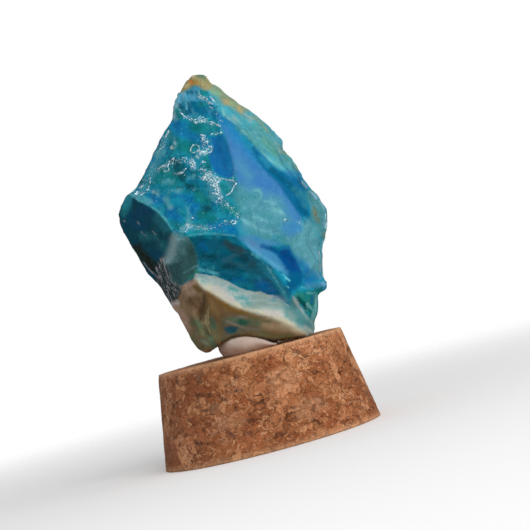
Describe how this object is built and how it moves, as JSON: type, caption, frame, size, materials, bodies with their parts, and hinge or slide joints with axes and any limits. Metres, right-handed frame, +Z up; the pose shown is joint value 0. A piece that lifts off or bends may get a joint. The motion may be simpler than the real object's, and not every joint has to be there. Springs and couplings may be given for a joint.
{
  "type": "rough blue opal specimen on a cork stand",
  "caption": "Rough broken piece of blue opal with a cream matrix ledge, held by a pat of putty on a tapered round cork stand.",
  "frame": {"origin": "centre of the cork stand's flat base", "axes": "+Z up through the middle of the cork stand, -Y towards the viewer of the stone's show side, +X to that viewer's right"},
  "size_m": [0.0428, 0.0428, 0.0727],
  "materials": {
    "opal": "glossy broken surface",
    "putty": "matte",
    "cork": "matte agglomerated cork"
  },
  "bodies": {
    "root": {"opal": "opal", "putty": "putty", "cork_stand": "cork"}
  },
  "joints": []
}
